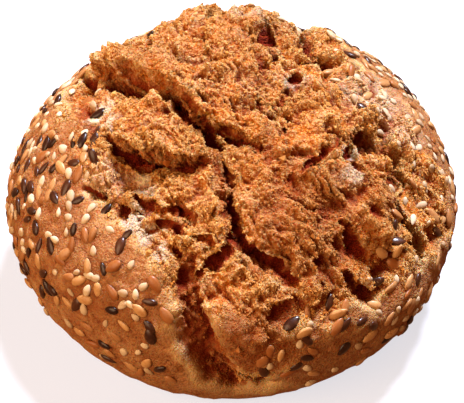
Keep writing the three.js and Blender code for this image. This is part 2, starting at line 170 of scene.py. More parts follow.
# How far down from the top the torn crumb reaches, from where down the seeds lie, and how gradually the one
# runs into the other, at bearings round from the front, all in degrees. On the right the crust is broken up
# almost to the waist, and the seeds reach up over it.
TEAR_EDGE = np.array([
    (-165, 58, 56, 3), (-135, 60, 54, 3), (-100, 61, 52, 2.5), (-72, 56, 50, 2.5), (-40, 59, 57, 2.5),
    (-20, 66, 66, 2.5), (-11, 76, 80, 2.5), (-3, 78, 97, 3), (4, 79, 97, 3), (10, 82, 83, 2.5),
    (18, 80, 77, 3), (40, 79, 73, 4), (60, 80, 65, 5), (75, 79, 55, 8), (88, 70, 46, 8), (100, 56, 42, 6),
    (120, 51, 43, 5), (150, 54, 50, 4)], dtype=float)
BEARING, TORN_TILT, SEEDS_TILT, SOFTNESS = range(4)  # what each column of the table holds
TEAR_WANDER, TEAR_SPACING = 1.3, 7.0

# Spacing and height of the lumps, as in the solid, and how the plates round off towards a split.
CRAG_SPACING, CRAG_HEIGHT = 11.0, 1.4
CRUMB_SPACING, CRUMB_HEIGHT = 5.0, 1.0
CREASE_SPACING, CREASE_BREADTH, CREASE_DEPTH = 13.0, 0.3, 1.5
SKIN_SPACING, SKIN_HEIGHT = 17.0, 0.5
RIM_WANDER, RIM_SPACING = 0.8, 2.8
ROUNDING_REACH, ROUNDING_DROP, FULL_ROUNDING_WIDTH = 7.0, 1.1, 1.1
SPLIT_FLOOR, SPLIT_RIM = 0.25, 1.25  # where the wall of a split starts and ends, in half widths
LIFT_REACH, LIFT_RUN_OUT = 13.0, 7.0
DROP_SHARE = 0.35  # of the lift, by which the plate on the other side drops
SWELLING_TOP, SWELLING_FOOT = 0.3, 1.3  # where the slope of a swelling starts and ends, in radii


def smooth(value, low, high):
    """0 up to the low value and 1 from the high one on, with no corner between."""
    share = np.clip((value - low) / (high - low), 0, 1)
    return share * share * (3 - 2 * share)


def draw(a, b, c):
    """A number from 0 to 1 that depends only on the three given."""
    wave = np.sin(a * 127.1 + b * 311.7 + c * 74.7) * 43758.5453
    return wave - np.floor(wave)


def unevenness(points, spacing):
    """Gentle unevenness from -1 to 1, with its lumps this far apart."""
    at = points / spacing
    cell = np.floor(at)
    fx, fy, fz = ((at - cell) ** 2 * (3 - 2 * (at - cell))).T
    total = 0
    for dx in (0, 1):
        for dy in (0, 1):
            for dz in (0, 1):
                share = (fx if dx else 1 - fx) * (fy if dy else 1 - fy) * (fz if dz else 1 - fz)
                total = total + share * draw(cell[:, 0] + dx, cell[:, 1] + dy, cell[:, 2] + dz)
    return 2 * total - 1


def above_edge(points, column, margin=0.0):
    """1 above the edge that a column of the table gives, and 0 by a margin or more below it."""
    out = points - WAIST
    bearing = np.degrees(np.arctan2(out[:, 0], -out[:, 1]))
    edge = np.interp(bearing, TEAR_EDGE[:, BEARING], TEAR_EDGE[:, column], period=360)
    softness = np.interp(bearing, TEAR_EDGE[:, BEARING], TEAR_EDGE[:, SOFTNESS], period=360)
    wander = TEAR_WANDER * softness * unevenness(points, TEAR_SPACING)
    tilt = np.degrees(np.arccos(unit(out)[:, 2])) + wander
    return 1 - smooth(tilt, edge - softness, edge + softness + margin)


def tornness(points):
    """1 on the torn crumb and 0 on the skin."""
    return above_edge(points, TORN_TILT)


def nearest_on(opening, points):
    """The nearest place of a split's route: its distance, half width, distance to an end, and side."""
    best = np.full(len(points), np.inf)
    width, run_at, left = np.zeros(len(points)), np.zeros(len(points)), np.zeros(len(points), bool)
    run = 0.0
    for start, end, w0, w1 in zip(opening["points"], opening["points"][1:],
                                  opening["half_widths"], opening["half_widths"][1:]):
        along = end - start
        length = np.linalg.norm(along)
        to = points - start
        share = np.clip(to @ along / length ** 2, 0, 1)
        distance = np.linalg.norm(to - share[:, None] * along, axis=1)
        nearer = distance < best
        best = np.where(nearer, distance, best)
        width = np.where(nearer, w0 + (w1 - w0) * share, width)
        run_at = np.where(nearer, run + share * length, run_at)
        side = np.einsum("ij,ij->i", np.cross(along, to), points - WAIST) > 0
        left = np.where(nearer, side, left)
        run += length
    return best, width, np.minimum(run_at, run - run_at), left


def in_split(points):
    """Whether each point lies within a split."""
    found = np.zeros(len(points), bool)
    for opening in SPLITS:
        distance, half_width, *_ = nearest_on(opening, points)
        found |= distance < SPLIT_RIM * half_width
    return found


def plate_relief(points):
    """How far the plates, less the splits between them, stand off the ball, and the splits' painted shade."""
    cut, rounding, lift, shaded_split_bottom = (np.zeros(len(points)) for _ in range(4))
    wander = RIM_WANDER * unevenness(points, RIM_SPACING)
    for opening in SPLITS:
        distance, half_width, to_end, left = nearest_on(opening, points)
        off = np.maximum(0, distance + wander)
        near = distance < LIFT_REACH
        inside = near * (1 - smooth(off, SPLIT_FLOOR * half_width, SPLIT_RIM * half_width))
        cut = np.maximum(cut, opening["steepness"] * half_width * inside)
        shaded_split_bottom = np.maximum(shaded_split_bottom, opening["shaded_split_bottom"] * inside)
        fullness = np.minimum(1, half_width / FULL_ROUNDING_WIDTH)
        rounded = near * ROUNDING_DROP * fullness * (1 - smooth(off, 0, ROUNDING_REACH))
        rounding = np.maximum(rounding, rounded)
        held = smooth(to_end, 0, LIFT_RUN_OUT) * (1 - smooth(distance, 0, LIFT_REACH))
        lift += opening["lift"] * held * np.where(left, 1, -DROP_SHARE)
    for middle, radius, rise in SWELLINGS:
        off = np.linalg.norm(points - middle, axis=1)
        lift += rise * (1 - smooth(off, SWELLING_TOP * radius, SWELLING_FOOT * radius))
    return lift - cut - rounding, shaded_split_bottom


def baked_relief(points):
    """How far the baked surface stands off the ball, as coarse as in the solid, how torn, and the splits'
    painted shade.
    """
    torn = tornness(points)
    crease = 1 - smooth(np.abs(unevenness(points, CREASE_SPACING)), 0, CREASE_BREADTH)
    lumps = CRAG_HEIGHT * unevenness(points, CRAG_SPACING)
    lumps += CRUMB_HEIGHT * unevenness(points, CRUMB_SPACING)
    crags = lumps - CREASE_DEPTH * crease
    skin = SKIN_HEIGHT * unevenness(points, SKIN_SPACING)
    plates, shaded_split_bottom = plate_relief(points)
    return plates + skin * (1 - torn) + crags * torn, torn, shaded_split_bottom


# The seeds, where they lie. The ball was rolled in seeds before it proved, so they are all round the skin,
# in clusters, few of them low down. The three kinds are hulled sesame, golden linseed and brown linseed.
# Sizes are length, width and thickness.
SEED_SHARES = {"hulled_sesame": 0.42, "golden_linseed": 0.33, "brown_linseed": 0.25}
SEED_SIZES = {"hulled_sesame": (2.5, 1.6, 0.9), "golden_linseed": (3.8, 2.05, 1.0),
              "brown_linseed": (3.8, 2.05, 1.0)}
SEED_VARIETY = 0.34  # from the smallest to the largest of a kind, as a share of its size
SEED_PLACES = 3200  # on a golden-angle spiral round the whole ball
TILT_NUDGE, BEARING_NUDGE = 3.0, 6.0  # degrees, half of them either way
SEED_CHANCE, SEED_CLUSTERING, SEED_CLUSTERS = 1.05, 0.9, 11.0  # how likely, how uneven, how far apart
FEWER_BELOW, FEWEST_BELOW, FEWER_SHARE = 72.0, 98.0, 0.5
THICKET, THICKET_REACH, THICKET_SESAME = around(80, 70)[0], 17.0, 0.45  # on the right, mostly sesame
SEEDLESS = 0.2  # how far over the seeds' edge, from 0 to 1, the last of them lie
SEED_SINK = 0.36  # share of the thickness that is pressed into the skin
SEED_CLEARANCE = 1.75  # between the middles of neighbours
SEED_LOWEST, SEED_RUN_OUT = 108.0, 14.0

index = np.arange(SEED_PLACES, dtype=float)
spiral_tilt = np.degrees(np.arccos(1 - 2 * (index + 0.5) / SEED_PLACES))
spiral_bearing = np.degrees(index * math.pi * (3 - math.sqrt(5)))
seed_tilt = spiral_tilt + TILT_NUDGE * (draw(index, 1, 0) - 0.5)
seed_bearing = spiral_bearing + BEARING_NUDGE * (draw(index, 2, 0) - 0.5)
seed_place = around(seed_bearing, seed_tilt)
thicket = 1 - smooth(np.linalg.norm(seed_place - THICKET, axis=1), THICKET_REACH / 2, THICKET_REACH)
likely = SEED_CHANCE + SEED_CLUSTERING * unevenness(seed_place, SEED_CLUSTERS)
likely -= FEWER_SHARE * smooth(seed_tilt, FEWER_BELOW, FEWEST_BELOW)
likely += thicket
thinning = smooth(seed_tilt, SEED_LOWEST - SEED_RUN_OUT, SEED_LOWEST)
wanted = (draw(index, 3, 0) <= likely * (1 - thinning)) & (above_edge(seed_place, SEEDS_TILT) <= SEEDLESS)
wanted &= ~in_split(seed_place)
kept = np.zeros(SEED_PLACES, bool)
for number in np.flatnonzero(wanted):
    between = np.linalg.norm(seed_place[kept] - seed_place[number], axis=1)
    kept[number] = not np.any(between < SEED_CLEARANCE)
kind_draw = draw(index, 5, 0) * (1 - THICKET_SESAME * thicket)
seed_turn = 2 * math.pi * draw(index, 4, 0)
seed_scale = 1 + SEED_VARIETY * (draw(index, 6, 0) - 0.5)
seed_kind = np.searchsorted(np.cumsum(list(SEED_SHARES.values())), kind_draw)
seed_size = np.array(list(SEED_SIZES.values()))[seed_kind] * seed_scale[:, None]


def level_way(outward):
    """A way along the surface, nearly level, for each outward direction."""
    return unit(np.cross(outward, (0.2, 0.1, 1.0)))


def lying(outward, turn):
    """The ways along and across a seed that lies flat under this outward direction, turned about it."""
    level = level_way(outward)
    along = level * np.cos(turn)[:, None] + np.cross(outward, level) * np.sin(turn)[:, None]
    return along, np.cross(outward, along)


def seed_distance(points):
    """How far each point is from the middle of the nearest seed: 1 at the seed's own edge."""
    places = seed_place[kept]
    tree = KDTree(len(places))
    for number, place in enumerate(places):
        tree.insert(place, number)
    tree.balance()
    nearest = np.array([tree.find(point)[1] for point in points])
    along, across = lying(unit(places - WAIST), seed_turn[kept])
    off = points - places[nearest]
    half = seed_size[kept][nearest] / 2
    return np.hypot(np.einsum("ij,ij->i", off, along[nearest]) / half[:, 0],
                    np.einsum("ij,ij->i", off, across[nearest]) / half[:, 1])


# The crust. The whole baked surface, skin and torn crumb in one. Its net of facets is crowded towards the top
# and cut finer in three passes: on all above the foot, on the torn crumb, and on the steep walls of the
# splits and their bottoms, which are painted as shade. The relief then goes from the plates down to grains of
# under a millimetre.
CROWDING, CROWDING_LEAN = 0.18, math.radians(22)
FOOT_TILT = 96.0  # degrees from the top
TORN_ENOUGH = 0.6
STEP, STEEP = 0.4, 2.6  # a slope is measured over this step, and is steep from this rise for each millimetre
SHADED_BOTTOM_ENOUGH = (0.1, 0.15, 0.82)  # for each pass

bpy.ops.object.select_all(action="DESELECT")
bpy.ops.mesh.primitive_ico_sphere_add(subdivisions=6, radius=1)
crust = bpy.context.object
crust.name = crust.data.name = "roll_crust"


def points_of(piece):
    """The places of a piece's corners, one row each."""
    flat = np.empty(3 * len(piece.data.vertices))
    piece.data.vertices.foreach_get("co", flat)
    return flat.reshape(-1, 3)


def put_points(piece, points):
    """Moves a piece's corners to these places."""
    piece.data.vertices.foreach_set("co", np.ascontiguousarray(points, dtype=np.float32).ravel())
    piece.data.update()


def crowd(directions):
    """Turns each direction towards the middle of the torn top."""
    middle = np.array([0.0, -math.sin(CROWDING_LEAN), math.cos(CROWDING_LEAN)])
    off = np.arccos(np.clip(directions @ middle, -1, 1))
    turned = off - CROWDING * np.sin(off) * (1 - off / math.pi / 3)
    sideways = directions - middle * np.cos(off)[:, None]
    sideways /= np.maximum(np.linalg.norm(sideways, axis=1, keepdims=True), 1e-9)
    return middle * np.cos(turned)[:, None] + sideways * np.sin(turned)[:, None]


def cut_facets(piece, wanted):
    """Cuts into four each facet whose middle, on the ball, is wanted."""
    face_corners = np.empty(3 * len(piece.data.polygons), dtype=np.int32)
    piece.data.polygons.foreach_get("vertices", face_corners)
    middles = points_of(piece)[face_corners.reshape(-1, 3)].mean(axis=1)
    bpy.context.tool_settings.mesh_select_mode = (False, False, True)
    piece.data.vertices.foreach_set("select", np.zeros(len(piece.data.vertices), bool))
    piece.data.edges.foreach_set("select", np.zeros(len(piece.data.edges), bool))
    piece.data.polygons.foreach_set("select", wanted(on_ball(middles)))
    bpy.ops.object.mode_set(mode="EDIT")
    bpy.ops.mesh.subdivide(number_cuts=1)
    bpy.ops.mesh.select_all(action="SELECT")
    bpy.ops.mesh.quads_convert_to_tris(quad_method="BEAUTY", ngon_method="BEAUTY")
    bpy.ops.object.mode_set(mode="OBJECT")


def steepness(points):
    """How steeply the plates rise or fall at each point of the ball."""
    out = unit(points - WAIST)
    across = level_way(out)
    here = plate_relief(points)[0]
    rises = [plate_relief(points + STEP * way)[0] - here for way in (across, np.cross(out, across))]
    return np.hypot(*rises) / STEP


def split_bottom_shading(points):
    """How much painted shade the bottoms of the splits get at each point of the ball."""
    return plate_relief(points)[1]


put_points(crust, crowd(unit(points_of(crust))))
cut_facets(crust, lambda middles: (np.degrees(np.arccos(unit(middles - WAIST)[:, 2])) < FOOT_TILT)
           | (split_bottom_shading(middles) > SHADED_BOTTOM_ENOUGH[0]))
cut_facets(crust, lambda middles: (tornness(middles) > TORN_ENOUGH)
           | (split_bottom_shading(middles) > SHADED_BOTTOM_ENOUGH[1]))
cut_facets(crust, lambda middles: (steepness(middles) > STEEP)
           | (split_bottom_shading(middles) > SHADED_BOTTOM_ENOUGH[2]))

# The torn crumb has rounded lumps with sharp creases between them at every size, pits, and on some plates
# long torn fibres that run down to the right. The spacings of these forms come first, and then their heights.
SWIRLS, BLOCKS, KNOBS, GRAINS, SPECKS, PITS = 6.0, 8.5, 3.6, 1.5, 0.85, 5.5
FIBRES, THREADS, RIBS, ROUGH_REGIONS, FIBROUS_REGIONS = 1.8, 1.0, 2.8, 13.0, 16.0
SWIRL_REACH, BLOCK_HEIGHT, KNOB_HEIGHT, GRAIN_HEIGHT, SPECK_HEIGHT, PIT_DEPTH = 2.2, 2.6, 1.7, 0.4, 0.3, 1.7
FIBRE_HEIGHT, THREAD_HEIGHT, RIB_HEIGHT = 2.2, 0.6, 2.6
SKIN_WAVES, SKIN_WAVE_HEIGHT, SKIN_PORES, SKIN_PORE_HEIGHT = 4.0, 0.38, 1.8, 0.28
SEED_RIM_HEIGHT, WORN_KNOB_HEIGHT, WORN_GRAIN_HEIGHT, WORN_SPECK_HEIGHT = 0.22, 1.3, 0.25, 0.15
LIP_HEIGHT, LIP_WAVES = 0.25, 4.0  # the torn skin curls up a little along its edge
FIBRE_RUN = unit(np.array([0.62, 0.0, 0.0]) - 0.78 * SIGHT_UP)
FIBRE_STRETCH = 0.82  # share of their length that is taken out of the noise along the fibres
ROUGHER_WAY = np.array([0.7, 0.7, 0.0])  # towards the back on the right


def crumble(points, spacing, seed):
    """Rougher unevenness from about -1 to 1, without the rows that plain unevenness has when it is fine."""
    angle = 0.7 + 1.3 * seed
    cosine, sine = math.cos(angle), math.sin(angle)
    turn = np.array([[cosine, -sine, 0], [sine, cosine, 0], [0, 0, 1]])
    lean = np.array([[1, 0, 0], [0, 0.8, -0.6], [0, 0.6, 0.8]])
    at = points @ (turn @ lean).T / spacing + 31.7 * seed
    cell = np.floor(at)
    part = at - cell
    fade = part ** 3 * (part * (6 * part - 15) + 10)
    total = 0
    for dx in (0, 1):
        for dy in (0, 1):
            for dz in (0, 1):
                corner = np.array([dx, dy, dz])
                x, y, z = (cell + corner).T
                way = np.stack([draw(x, y, z), draw(y, z, x + 7), draw(z, x, y + 13)], axis=1) * 2 - 1
                weight = np.prod(np.where(corner, fade, 1 - fade), axis=1)
                total = total + weight * np.einsum("ij,ij->i", way, part - corner)
    return 1.6 * total


def fine_relief(points, torn, shaded_split_bottom, worn, from_seed):
    """How far the crumb's own forms and the skin's pores stand off the plates."""
    warp = np.stack([crumble(points, SWIRLS, seed) for seed in (11, 12, 13)], axis=1)
    warped = points + SWIRL_REACH * warp
    blocks = np.abs(crumble(warped, BLOCKS, 1)) - 0.4
    knobs = np.abs(crumble(warped, KNOBS, 2)) - 0.3
    grains = crumble(warped, GRAINS, 3)
    specks = crumble(points, SPECKS, 4)
    pits = smooth(crumble(warped, PITS, 5), 0.28, 0.62)
    region = 0.5 + 0.5 * np.clip(2.2 * crumble(points, FIBROUS_REGIONS, 6), -1, 1)
    stretched = warped - FIBRE_STRETCH * np.outer(warped @ FIBRE_RUN, FIBRE_RUN)
    fibres = np.abs(crumble(stretched, FIBRES, 7)) - 0.35
    threads = np.abs(crumble(stretched, THREADS, 19)) - 0.35
    fibrous = smooth(region, 0.25, 0.65)
    ribs = np.abs(crumble(points, RIBS, 16)) - 0.3
    rough = 0.6 + 0.6 * smooth(crumble(points, ROUGH_REGIONS, 15), -0.3, 0.4)
    rough += 0.5 * smooth(points @ ROUGHER_WAY, -5, 12)
    rough += 0.9 * smooth(shaded_split_bottom, 0.3, 0.8)
    crumb = (BLOCK_HEIGHT + rough) * blocks
    crumb += rough * (KNOB_HEIGHT - 0.8 * fibrous) * knobs
    crumb += GRAIN_HEIGHT * grains
    crumb += SPECK_HEIGHT * specks
    crumb -= PIT_DEPTH * pits
    crumb += FIBRE_HEIGHT * fibrous * fibres
    crumb += THREAD_HEIGHT * threads
    crumb += RIB_HEIGHT * smooth(shaded_split_bottom, 0.1, 0.5) * ribs
    skin = SKIN_WAVE_HEIGHT * crumble(points, SKIN_WAVES, 8)
    skin += SKIN_PORE_HEIGHT * crumble(points, SKIN_PORES, 9)
    skin += SEED_RIM_HEIGHT * np.exp(-((from_seed - 1.2) / 0.35) ** 2)
    skin += worn * (WORN_KNOB_HEIGHT * knobs + WORN_GRAIN_HEIGHT * grains + WORN_SPECK_HEIGHT * specks)
    tear = np.clip(torn + 0.8 * shaded_split_bottom, 0, 1)
    lip = LIP_HEIGHT * np.exp(-((torn - 0.35) / 0.22) ** 2) * (0.5 + crumble(points, LIP_WAVES, 10))
    return skin * (1 - tear) + crumb * tear + lip


# The skin is worn rough for some degrees below the torn edge, and on the block over the foot of the roll.
WORN_MARGIN = 10.0
FOOT_BLOCK, FOOT_BLOCK_TOP, FOOT_BLOCK_EDGE, FOOT_BLOCK_WEAR = seen(4, -32), 9.0, 14.0, 0.8
PLATE_CONTACT = 3.0  # the relief runs out over this height above the plate
FACING_LEAN = 0.3  # towards the way out of the ball, which keeps steep walls from folding over
SPLIT_CALM = 0.25  # share of the fine relief that the bottoms of the splits don't have

smooth_ball = on_ball(points_of(crust))
off_foot = np.linalg.norm(smooth_ball - FOOT_BLOCK, axis=1)
worn = np.maximum(above_edge(smooth_ball, TORN_TILT, margin=WORN_MARGIN),
                  FOOT_BLOCK_WEAR * (1 - smooth(off_foot, FOOT_BLOCK_TOP, FOOT_BLOCK_EDGE)))
from_seed = seed_distance(smooth_ball)
outwards = unit(smooth_ball - WAIST)
above_plate = smooth(smooth_ball[:, 2], 0.0, PLATE_CONTACT)
coarse, torn, shaded_split_bottom = baked_relief(smooth_ball)
plates = smooth_ball + outwards * (coarse * above_plate)[:, None]
put_points(crust, plates)
facing = np.empty(plates.size)
crust.data.vertices.foreach_get("normal", facing)
facing = unit(facing.reshape(-1, 3) + FACING_LEAN * outwards)
calm = 1 - SPLIT_CALM * smooth(shaded_split_bottom, 0.25, 0.6)
fine = fine_relief(plates, torn, shaded_split_bottom, worn, from_seed) * calm
baked = plates + facing * (fine * above_plate)[:, None]
baked[:, 2] = np.maximum(baked[:, 2], 0)
relief = np.einsum("ij,ij->i", baked - smooth_ball, outwards)
put_points(crust, baked * MM)
bpy.ops.object.shade_smooth()

# What the finish follows on the crust: how far each spot lies below its surroundings, near and wide, which it
# paints as shade in the hollows and as a pale highlight on the high spots, where the flour of the proving
# cloth stayed on the high edges, the painted shadow round each seed, and where the crust is toasted darker.
NEAR_ROUNDS, WIDE_ROUNDS = 12, 160  # of spreading to the neighbours
edge_ends = np.empty(2 * len(crust.data.edges), dtype=np.int64)
crust.data.edges.foreach_get("vertices", edge_ends)
edge_ends = edge_ends.reshape(-1, 2)
both_ways = np.concatenate([edge_ends, edge_ends[:, ::-1]])
neighbour_count = np.bincount(both_ways[:, 0], minlength=len(relief))


def spread(values, rounds):
    """The values, evened out among neighbours this many times."""
    for _ in range(rounds):
        sums = np.bincount(both_ways[:, 0], weights=values[both_ways[:, 1]], minlength=len(values))
        values = 0.5 * values + 0.5 * sums / neighbour_count
    return values


near_hollow = spread(relief, NEAR_ROUNDS) - relief
wide_hollow = spread(relief, WIDE_ROUNDS) - relief
# A ring round each seed where the finish paints a contact shadow on the skin.
seed_contact_shadow = 1 - smooth(from_seed, 1.0, 1.7)

# u, v, radius and thickness of each patch
FLOUR_SPOTS = [
    (-31, 20, 4.2, 1), (-27.5, 17.5, 2.6, 1), (-20.5, 2.5, 2.8, 1), (-21.5, -4, 3, 1), (-18.5, -8, 3, 1),
    (-15, -11.5, 2.2, 0.9), (-28, 4, 6, 0.4), (15, 28, 3, 0.5), (25.5, 10, 1.6, 0.9), (25.5, 4.5, 2.8, 0.7),
    (3, 38, 4, 0.5), (31, 23, 9, 0.5), (38, 15, 6, 0.4),
]
TOASTED_SPOTS = [
    (4, -30, 10, 1), (18, -6, 17, 0.7), (9, 9, 9, 0.45), (6, 37, 10, 0.45), (29, 0, 10, 0.55),
    (-2, -42, 8, 0.4), (-18, 29, 9, 0.3), (-34, 15, 7, 0.6),
]
RAGGEDNESS, RAGGED_SPACING = 1.6, 2.4
PATCH_FULL, PATCH_END = 0.5, 1.2  # where a patch starts to thin out and where it ends, in radii


def patches(spots):
    """How thickly each point is covered by round patches with ragged edges."""
    ragged = RAGGEDNESS * crumble(smooth_ball, RAGGED_SPACING, 14)
    covered = np.zeros(len(smooth_ball))
    for u, v, radius, thickness in spots:
        off = np.linalg.norm(smooth_ball - seen(u, v), axis=1) + ragged
        inside = 1 - smooth(off, PATCH_FULL * radius, PATCH_END * radius)
        covered = np.maximum(covered, thickness * inside)
    return covered


crust_values = {"torn": torn, "shaded_split_bottom": shaded_split_bottom, "near_hollow": near_hollow, "wide_hollow": wide_hollow,
                "flour": patches(FLOUR_SPOTS), "seed_contact_shadow": seed_contact_shadow, "worn": worn,
                "toasted": patches(TOASTED_SPOTS)}


def put_values(piece, name, values):
    """Keeps a value for each of a piece's corners, which its finish reads."""
    attribute = piece.data.attributes.new(name, "FLOAT", "POINT")
    attribute.data.foreach_set("value", values.astype(np.float32))


for name, values in crust_values.items():
    put_values(crust, name, values)


# Baked wholemeal crust. The skin is a dry, satin brown with bran flecks, and a painted shadow round each
# seed.
# The torn crumb is matt and orange-brown on its faces, with painted shade where it is deep and in the bottoms
# of the splits, a painted highlight of tan on the tips and on its grains, painted shade between the grains,
# and flour dusted on it. The finest flecks, of 0.4 to 0.9 mm, are drawn coarser than the real bran so that
# they show.
TOASTED, SPLIT_SHADE, DEEP_SHADE, DARKEST_SPLIT_SHADE, FLOUR = "#7A3A0C", "#803000", "#701600", "#561C04", "#C0AE92"
GRANULE, SMALL_GRANULE = 0.85, 0.5
SWAY, SWAY_SPACING = 0.8, 1.5  # of the granules' outlines
GRIT_HEIGHT = 0.55


def colour(text):
    """An sRGB hex colour as linear red, green, blue and alpha."""
    parts = [int(text[i:i + 2], 16) / 255 for i in (1, 3, 5)]
    return [part / 12.92 if part <= 0.04045 else ((part + 0.055) / 1.055) ** 2.4 for part in parts] + [1.0]


def add(tree, kind, links=None, **settings):
    """Adds a node: settings are its options or its inputs by name, and links join outputs to inputs."""
    made = tree.nodes.new("ShaderNode" + kind)
    for key, value in settings.items():
        if hasattr(made, key):
            setattr(made, key, value)
        else:
            made.inputs[key.replace("_", " ")].default_value = value
    for key, output in (links or {}).items():
        tree.links.new(output, made.inputs[key])
    return made


def new_finish(name):
    """An empty finish and its tree of nodes."""
    finish = bpy.data.materials.new(name)
    finish.use_nodes = True
    finish.node_tree.nodes.clear()
    return finish, finish.node_tree


def blend(tree, share, first, second):
    """Mixes two colours, each a socket or a hex text, by a share that is a socket."""
    made = add(tree, "Mix", data_type="RGBA", clamp_factor=True)
    for slot, value in ((0, share), (6, first), (7, second)):
        if isinstance(value, str):
            made.inputs[slot].default_value = colour(value)
        else:
            tree.links.new(value, made.inputs[slot])
    return made.outputs[2]


def ramp(tree, value, low, high, from_low=0.0, from_high=1.0):
    """Brings a value from one range to another, held inside it."""
    made = add(tree, "MapRange", {0: value}, clamp=True)
    for slot, number in ((1, low), (2, high), (3, from_low), (4, from_high)):
        made.inputs[slot].default_value = number
    return made.outputs[0]


def mottle(tree, spacing_mm, detail=2.0, roughness=0.6):
    """Noise over the piece with its lumps this many millimetres apart."""
    place = add(tree, "TexCoord").outputs["Object"]
    made = add(tree, "TexNoise", {"Vector": place}, Scale=1 / (spacing_mm * MM), Detail=detail,
               Roughness=roughness)
    return made.outputs["Fac"]


def flecked(tree, surface, flecks):
    """Adds rows of flecks: spacing, detail, roughness, the range they show in, share and colour."""
    for spacing_mm, detail, roughness, low, high, share, fleck in flecks:
        noise = mottle(tree, spacing_mm, detail, roughness)
        surface = blend(tree, ramp(tree, noise, low, high, 0, share), surface, fleck)
    return surface


finish, tree = new_finish("baked_wholemeal_crust")
values = {name: add(tree, "Attribute", attribute_name=name).outputs["Fac"] for name in crust_values}
place = add(tree, "TexCoord").outputs["Object"]
sway = add(tree, "TexNoise", {"Vector": place}, Scale=1 / (SWAY_SPACING * MM)).outputs["Color"]
swayed = add(tree, "VectorMath", {0: sway, 2: place}, operation="MULTIPLY_ADD")
swayed.inputs[1].default_value = (SWAY * MM, SWAY * MM, SWAY * MM)
granule, small_granule = (
    add(tree, "TexVoronoi", {"Vector": swayed.outputs[0]}, Scale=1 / (size * MM)).outputs["Distance"]
    for size in (GRANULE, SMALL_GRANULE))
gaps = add(tree, "Math", {0: granule, 1: small_granule}, operation="MULTIPLY").outputs[0]
skin = blend(tree, ramp(tree, mottle(tree, 9, 3), 0.38, 0.62), "#88562C", "#A07248")
skin = flecked(tree, skin, [
    (3.0, 3, 0.6, 0.5, 0.72, 0.6, "#7E3E10"),  # browner patches
    (1.6, 3, 0.7, 0.48, 0.7, 0.6, "#B88250"),  # paler ones
    (0.7, 2, 0.7, 0.5, 0.66, 0.5, "#74340C"),  # pores
    (0.9, 1, 0.6, 0.64, 0.7, 0.6, "#4C1E08"),  # bran
])
# Painted contact shadow round each seed.
skin = blend(tree, ramp(tree, values["seed_contact_shadow"], 0.1, 1.0, 0, 0.55), skin, "#6C300C")
crumb = blend(tree, ramp(tree, mottle(tree, 7, 3), 0.38, 0.62), "#985216", "#AC6E34")
crumb = flecked(tree, crumb, [
    (8, 3, 0.6, 0.47, 0.58, 1.0, "#B8660C"),  # orange plates
    (5, 3, 0.6, 0.54, 0.66, 0.7, "#B4885C"),  # paler ones
    (2.2, 3, 0.6, 0.45, 0.7, 0.6, "#A05C10"),
    (0.4, 1, 0.6, 0.52, 0.66, 0.3, "#7A3408"),  # bran
])
# Painted highlight and shade on the grains: their tips are painted pale tan, the gaps between them dark.
crumb = blend(tree, ramp(tree, gaps, 0.3, 0.06, 0, 0.7), crumb, "#BE9462")
crumb = blend(tree, ramp(tree, gaps, 0.25, 0.45, 0, 0.6), crumb, "#823608")
torn_share = ramp(tree, values["torn"], 0.25, 0.6)
worn_share = ramp(tree, values["worn"], 0.1, 0.9, 0, 0.6)
crumb_share = add(tree, "Math", {0: torn_share, 1: worn_share}, operation="MAXIMUM").outputs[0]
surface = blend(tree, crumb_share, skin, crumb)
# Painted highlight: spots that stand above their near surroundings are painted pale tan.
surface = blend(tree, ramp(tree, values["near_hollow"], -0.1, -0.6, 0, 0.7), surface, "#C6A672")
surface = blend(tree, ramp(tree, values["toasted"], 0, 1, 0, 0.65), surface, TOASTED)
# Painted shade: spots below their near surroundings are painted dark red-brown.
surface = blend(tree, ramp(tree, values["near_hollow"], 0.1, 0.8, 0, 0.85), surface, "#883200")
# Painted shade: the bottoms of the splits are painted dark, most where they are sunk.
sunk = ramp(tree, values["near_hollow"], -0.35, 0.15, 0.35, 1)
for low, high, share, dark in ((0.1, 0.6, 0.8, SPLIT_SHADE), (0.62, 1.0, 0.75, DARKEST_SPLIT_SHADE)):
    bottom_shade = add(tree, "Math", {0: ramp(tree, values["shaded_split_bottom"], low, high, 0, share), 1: sunk},
                operation="MULTIPLY").outputs[0]
    surface = blend(tree, bottom_shade, surface, dark)
# Painted shade in the wide hollows.
surface = blend(tree, ramp(tree, values["wide_hollow"], 0.0, 1.6, 0, 0.86), surface, DEEP_SHADE)
dust = add(tree, "Math", {0: values["flour"], 1: ramp(tree, values["near_hollow"], 0.5, -0.1, 0, 0.9)},
           operation="MULTIPLY").outputs[0]
surface = blend(tree, dust, surface, FLOUR)
height = add(tree, "Math", {0: gaps, 1: mottle(tree, 0.4, 2)}, operation="SUBTRACT").outputs[0]
grit_share = ramp(tree, crumb_share, 0.0, 0.6, 0.7, 1.0)
grit = add(tree, "Bump", {"Height": height, "Strength": grit_share}, Distance=-GRIT_HEIGHT * MM)
shader = add(tree, "BsdfPrincipled", {"Base Color": surface, "Normal": grit.outputs[0],
                                      "Roughness": ramp(tree, crumb_share, 0, 1, 0.7, 0.9)})
shader.inputs["Specular IOR Level"].default_value = 0.15
shader.inputs["Subsurface Weight"].default_value = 0.55
shader.inputs["Subsurface Radius"].default_value = (1.0, 0.3, 0.1)
shader.inputs["Subsurface Scale"].default_value = 1.5 * MM
add(tree, "OutputMaterial", {"Surface": shader.outputs[0]})
crust.data.materials.append(finish)
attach(crust, "root")
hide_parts("seeded_roll")

